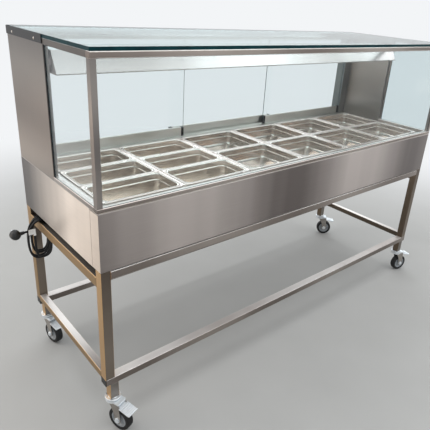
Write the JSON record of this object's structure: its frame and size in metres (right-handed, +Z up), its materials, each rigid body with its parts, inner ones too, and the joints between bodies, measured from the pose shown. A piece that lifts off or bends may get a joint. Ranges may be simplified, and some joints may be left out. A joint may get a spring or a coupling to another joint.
{
  "type": "hot food display trolley",
  "caption": "Mobile hot food display: steel stand on braked castors, heated well with lift-out pans, glass case with lamp hood and sliding rear doors.",
  "frame": {"origin": "on the floor under the middle of the whole trolley, castors included, cord left out", "axes": "+X along the length to the customer's right, +Y from the customer's glass to the server's doors, +Z up"},
  "size_m": [2.2932, 0.7883, 1.434],
  "materials": {
    "stainless": "brushed stainless",
    "pan_steel": "satin stainless",
    "zinc": "bright zinc plate",
    "element": "dull sheathed element",
    "aluminium": "anodised",
    "black_plastic": "matt",
    "bracket": "dark grey satin",
    "glass": "clear",
    "quartz": "frosted quartz",
    "seal": "matt",
    "tyre": "matt",
    "cord": "matt",
    "tag": "matt"
  },
  "bodies": {
    "trolley": {"base_tray": "stainless", "bracket_screws": "stainless", "case_frame": "stainless", "case_glass": "glass", "castor_heads": "zinc", "control_box": "black_plastic", "cord_coil": "cord", "cord_gland": "black_plastic", "cord_leads": "cord", "cord_plug": "cord", "cord_tag": "tag", "divider_bars": "stainless", "door_tracks": "stainless", "end_brackets": "bracket", "front_panel": "stainless", "glass_seals": "seal", "heat_lamps": "quartz", "heating_elements": "element", "lamp_hood": "stainless", "rail_end_caps": "black_plastic", "rear_panel": "stainless", "rear_pillars": "stainless", "side_panels": "stainless", "stand_frame": "stainless", "top_glass": "glass", "well_tank": "stainless"},
    "front_left_castor": {"front_left_fork": "zinc"},
    "front_left_wheel": {"front_left_wheel": "tyre"},
    "front_left_pedal": {"front_left_pedal": "zinc"},
    "rear_left_castor": {"rear_left_fork": "zinc"},
    "rear_left_wheel": {"rear_left_wheel": "tyre"},
    "rear_left_pedal": {"rear_left_pedal": "zinc"},
    "front_right_castor": {"front_right_fork": "zinc"},
    "front_right_wheel": {"front_right_wheel": "tyre"},
    "front_right_pedal": {"front_right_pedal": "zinc"},
    "rear_right_castor": {"rear_right_fork": "zinc"},
    "rear_right_wheel": {"rear_right_wheel": "tyre"},
    "rear_right_pedal": {"rear_right_pedal": "zinc"},
    "door_left": {"door_left_pane": "glass", "door_left_rail": "aluminium"},
    "door_middle": {"door_middle_pane": "glass", "door_middle_rail": "aluminium"},
    "door_right": {"door_right_pane": "glass", "door_right_rail": "aluminium"},
    "pan_1_1": {"pan_1_1": "pan_steel"},
    "pan_1_2": {"pan_1_2": "pan_steel"},
    "pan_1_3": {"pan_1_3": "pan_steel"},
    "pan_2_1": {"pan_2_1": "pan_steel"},
    "pan_2_2": {"pan_2_2": "pan_steel"},
    "pan_2_3": {"pan_2_3": "pan_steel"},
    "pan_3_1": {"pan_3_1": "pan_steel"},
    "pan_3_2": {"pan_3_2": "pan_steel"},
    "pan_4_1": {"pan_4_1": "pan_steel"},
    "pan_4_2": {"pan_4_2": "pan_steel"},
    "pan_5_1": {"pan_5_1": "pan_steel"},
    "pan_5_2": {"pan_5_2": "pan_steel"},
    "pan_6_1": {"pan_6_1": "pan_steel"},
    "pan_6_2": {"pan_6_2": "pan_steel"},
    "knob": {"thermostat_knob": "black_plastic"},
    "rocker": {"switch_rocker": "black_plastic"}
  },
  "joints": [
    {"name": "front_left_swivel", "type": "hinge", "parent": "trolley", "child": "front_left_castor", "pos_m": [-1.048, -0.289, 0.13], "axis": [0, 0, 1], "continuous": true},
    {"name": "front_left_roll", "type": "hinge", "parent": "front_left_castor", "child": "front_left_wheel", "pos_m": [-1.03563, -0.32493, 0.05], "axis": [-0.9455, -0.3256, 0], "continuous": true},
    {"name": "front_left_brake", "type": "hinge", "parent": "front_left_castor", "child": "front_left_pedal", "pos_m": [-1.03823, -0.31737, 0.119], "axis": [-0.9455, -0.3256, 0], "range_deg": [0, 14]},
    {"name": "rear_left_swivel", "type": "hinge", "parent": "trolley", "child": "rear_left_castor", "pos_m": [-1.048, 0.355, 0.13], "axis": [0, 0, 1], "continuous": true},
    {"name": "rear_left_roll", "type": "hinge", "parent": "rear_left_castor", "child": "rear_left_wheel", "pos_m": [-1.04075, 0.3177, 0.05], "axis": [-0.9816, -0.1908, 0], "continuous": true},
    {"name": "rear_left_brake", "type": "hinge", "parent": "rear_left_castor", "child": "rear_left_pedal", "pos_m": [-1.04228, 0.32555, 0.119], "axis": [-0.9816, -0.1908, 0], "range_deg": [0, 14]},
    {"name": "front_right_swivel", "type": "hinge", "parent": "trolley", "child": "front_right_castor", "pos_m": [0.982, -0.289, 0.13], "axis": [0, 0, 1], "continuous": true},
    {"name": "front_right_roll", "type": "hinge", "parent": "front_right_castor", "child": "front_right_wheel", "pos_m": [1.01871, -0.29884, 0.05], "axis": [-0.2588, -0.9659, 0], "continuous": true},
    {"name": "front_right_brake", "type": "hinge", "parent": "front_right_castor", "child": "front_right_pedal", "pos_m": [1.01098, -0.29676, 0.119], "axis": [-0.2588, -0.9659, 0], "range_deg": [0, 14]},
    {"name": "rear_right_swivel", "type": "hinge", "parent": "trolley", "child": "rear_right_castor", "pos_m": [0.982, 0.355, 0.13], "axis": [0, 0, 1], "continuous": true},
    {"name": "rear_right_roll", "type": "hinge", "parent": "rear_right_castor", "child": "rear_right_wheel", "pos_m": [1.01024, 0.32957, 0.05], "axis": [-0.6691, -0.7431, 0], "continuous": true},
    {"name": "rear_right_brake", "type": "hinge", "parent": "rear_right_castor", "child": "rear_right_pedal", "pos_m": [1.00429, 0.33493, 0.119], "axis": [-0.6691, -0.7431, 0], "range_deg": [0, 14]},
    {"name": "door_left_slide", "type": "slide", "parent": "trolley", "child": "door_left", "axis": [1, 0, 0], "range_m": [0, 0.55]},
    {"name": "door_middle_slide", "type": "slide", "parent": "trolley", "child": "door_middle", "axis": [1, 0, 0], "range_m": [-0.62, 0.62]},
    {"name": "door_right_slide", "type": "slide", "parent": "trolley", "child": "door_right", "axis": [1, 0, 0], "range_m": [-0.55, 0]},
    {"name": "pan_1_1_lift", "type": "slide", "parent": "trolley", "child": "pan_1_1", "axis": [0, 0, 1], "range_m": [0, 0.12]},
    {"name": "pan_1_2_lift", "type": "slide", "parent": "trolley", "child": "pan_1_2", "axis": [0, 0, 1], "range_m": [0, 0.12]},
    {"name": "pan_1_3_lift", "type": "slide", "parent": "trolley", "child": "pan_1_3", "axis": [0, 0, 1], "range_m": [0, 0.12]},
    {"name": "pan_2_1_lift", "type": "slide", "parent": "trolley", "child": "pan_2_1", "axis": [0, 0, 1], "range_m": [0, 0.12]},
    {"name": "pan_2_2_lift", "type": "slide", "parent": "trolley", "child": "pan_2_2", "axis": [0, 0, 1], "range_m": [0, 0.12]},
    {"name": "pan_2_3_lift", "type": "slide", "parent": "trolley", "child": "pan_2_3", "axis": [0, 0, 1], "range_m": [0, 0.12]},
    {"name": "pan_3_1_lift", "type": "slide", "parent": "trolley", "child": "pan_3_1", "axis": [0, 0, 1], "range_m": [0, 0.085]},
    {"name": "pan_3_2_lift", "type": "slide", "parent": "trolley", "child": "pan_3_2", "axis": [0, 0, 1], "range_m": [0, 0.085]},
    {"name": "pan_4_1_lift", "type": "slide", "parent": "trolley", "child": "pan_4_1", "axis": [0, 0, 1], "range_m": [0, 0.085]},
    {"name": "pan_4_2_lift", "type": "slide", "parent": "trolley", "child": "pan_4_2", "axis": [0, 0, 1], "range_m": [0, 0.085]},
    {"name": "pan_5_1_lift", "type": "slide", "parent": "trolley", "child": "pan_5_1", "axis": [0, 0, 1], "range_m": [0, 0.085]},
    {"name": "pan_5_2_lift", "type": "slide", "parent": "trolley", "child": "pan_5_2", "axis": [0, 0, 1], "range_m": [0, 0.085]},
    {"name": "pan_6_1_lift", "type": "slide", "parent": "trolley", "child": "pan_6_1", "axis": [0, 0, 1], "range_m": [0, 0.085]},
    {"name": "pan_6_2_lift", "type": "slide", "parent": "trolley", "child": "pan_6_2", "axis": [0, 0, 1], "range_m": [0, 0.085]},
    {"name": "thermostat_turn", "type": "hinge", "parent": "trolley", "child": "knob", "pos_m": [0.667, 0.373, 0.815], "axis": [0, -1, 0], "range_deg": [0, 270]},
    {"name": "switch_rock", "type": "hinge", "parent": "trolley", "child": "rocker", "pos_m": [0.757, 0.369, 0.815], "axis": [1, 0, 0], "range_deg": [0, 18]}
  ]
}
